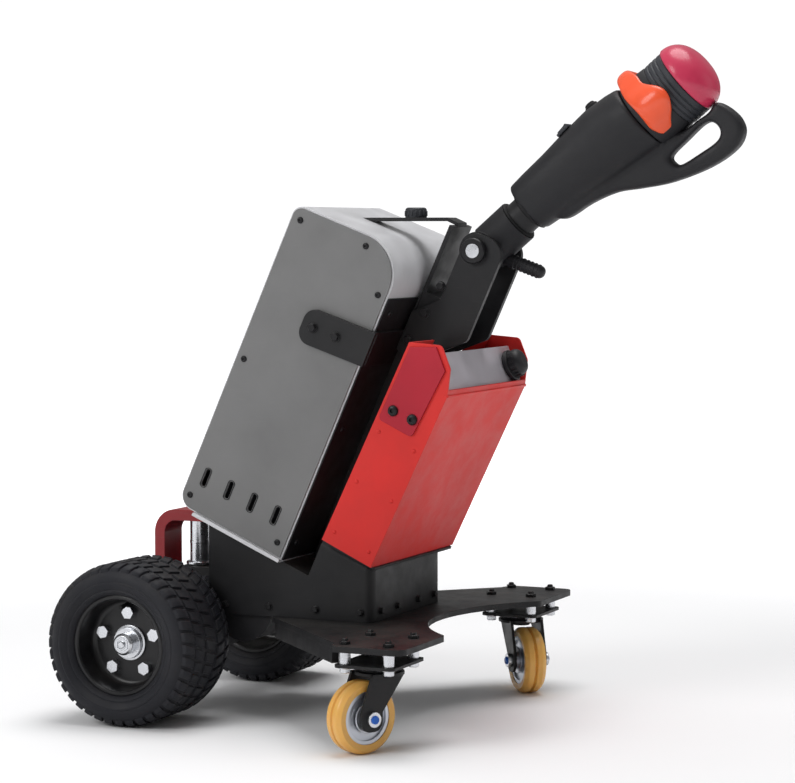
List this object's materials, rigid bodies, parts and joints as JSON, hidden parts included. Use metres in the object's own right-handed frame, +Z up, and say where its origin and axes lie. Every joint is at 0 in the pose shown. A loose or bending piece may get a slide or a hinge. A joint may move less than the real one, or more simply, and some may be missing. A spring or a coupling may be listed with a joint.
{
  "type": "electric tow tractor",
  "caption": "Walk-behind electric tow tractor with broad drive wheels, leaning grey housing, red battery box, swivel castors, front tow hook and a tilting tiller.",
  "frame": {"origin": "on the floor, below the middle of the overall length, on the machine's middle plane", "axes": "+Z up, +X to the rear where the driver walks, +Y to the machine's right"},
  "size_m": [0.9159, 0.6428, 0.9232],
  "materials": {
    "frame_black": "satin black powder coat",
    "cast_black": "black painted casting",
    "cover_silver": "fine brushed silver",
    "panel_grey": "smooth grey paint",
    "inner_block": "plain dark case",
    "battery_red": "gloss red paint",
    "battery_red_dark": "deep red paint",
    "lid_silver": "brushed",
    "plastic_black": "fine moulded grain",
    "plastic_grey": "fine moulded grain",
    "hook_red": "gloss red paint",
    "bright_steel": "zinc plated",
    "latch_yellow": "yellow paint",
    "throttle_orange": "smooth moulded plastic",
    "dome_red": "smooth moulded plastic",
    "tyre_black": "black rubber",
    "rim_black": "black paint",
    "castor_hub": "machined",
    "castor_amber": "amber cast elastomer"
  },
  "bodies": {
    "chassis": {"chassis_plate": "frame_black", "axle_case": "cast_black", "base_housing": "frame_black", "drive_motor": "cast_black", "battery_shelf": "frame_black", "body_cover": "cover_silver", "housing_floor": "cover_silver", "side_panel_left": "panel_grey", "side_panel_right": "panel_grey", "traction_battery": "inner_block", "rear_column": "frame_black", "cross_plate": "frame_black", "rear_panel": "frame_black", "top_brace": "frame_black", "brace_knob": "plastic_grey", "plate_rib_left": "frame_black", "plate_rib_right": "frame_black", "housing_arm_left": "frame_black", "housing_arm_right": "frame_black", "battery_tray": "battery_red", "battery_cells": "inner_block", "battery_lid": "lid_silver", "battery_side_left": "battery_red_dark", "battery_side_right": "battery_red_dark", "battery_plug": "plastic_black", "hitch_bracket": "frame_black", "tow_hook": "hook_red", "tow_pin": "bright_steel", "release_latch": "latch_yellow", "tiller_cheek_left": "frame_black", "tiller_cheek_right": "frame_black", "tiller_pin": "bright_steel", "castor_plate_left": "frame_black", "castor_studs_left": "bright_steel", "castor_plate_right": "frame_black", "castor_studs_right": "bright_steel"},
    "tiller": {"tiller_knuckle": "cast_black", "tiller_tube": "frame_black", "clamp_lever": "plastic_black", "tiller_head": "plastic_black", "throttle_band": "throttle_orange", "head_collar": "plastic_grey", "stop_dome": "dome_red"},
    "drive_wheel_left": {"drive_tyre_left": "tyre_black", "drive_rim_left": "rim_black", "wheel_hub_left": "bright_steel", "axle_shaft_left": "bright_steel"},
    "castor_swivel_left": {"castor_fork_left": "frame_black", "castor_axle_left": "bright_steel"},
    "castor_wheel_left": {"castor_core_left": "castor_hub", "castor_tread_left": "castor_amber"},
    "drive_wheel_right": {"drive_tyre_right": "tyre_black", "drive_rim_right": "rim_black", "wheel_hub_right": "bright_steel", "axle_shaft_right": "bright_steel"},
    "castor_swivel_right": {"castor_fork_right": "frame_black", "castor_axle_right": "bright_steel"},
    "castor_wheel_right": {"castor_core_right": "castor_hub", "castor_tread_right": "castor_amber"}
  },
  "joints": [
    {"name": "tiller_tilt", "type": "hinge", "parent": "chassis", "child": "tiller", "pos_m": [0.0903, 0, 0.65138], "axis": [0, -1, 0], "range_deg": [-30, 44]},
    {"name": "drive_wheel_left_spin", "type": "hinge", "parent": "chassis", "child": "drive_wheel_left", "pos_m": [-0.3455, -0.2, 0.113], "axis": [0, 1, 0], "continuous": true},
    {"name": "castor_left_swivel", "type": "hinge", "parent": "chassis", "child": "castor_swivel_left", "pos_m": [0.0445, -0.254, 0.104], "axis": [0, 0, 1], "continuous": true},
    {"name": "castor_left_spin", "type": "hinge", "parent": "castor_swivel_left", "child": "castor_wheel_left", "pos_m": [0.02996, -0.28024, 0.048], "axis": [0.8746, -0.4848, 0], "continuous": true},
    {"name": "drive_wheel_right_spin", "type": "hinge", "parent": "chassis", "child": "drive_wheel_right", "pos_m": [-0.3455, 0.2, 0.113], "axis": [0, 1, 0], "continuous": true},
    {"name": "castor_right_swivel", "type": "hinge", "parent": "chassis", "child": "castor_swivel_right", "pos_m": [0.0445, 0.254, 0.104], "axis": [0, 0, 1], "continuous": true},
    {"name": "castor_right_spin", "type": "hinge", "parent": "castor_swivel_right", "child": "castor_wheel_right", "pos_m": [0.06338, 0.23069, 0.048], "axis": [0.7771, 0.6293, 0], "continuous": true}
  ]
}
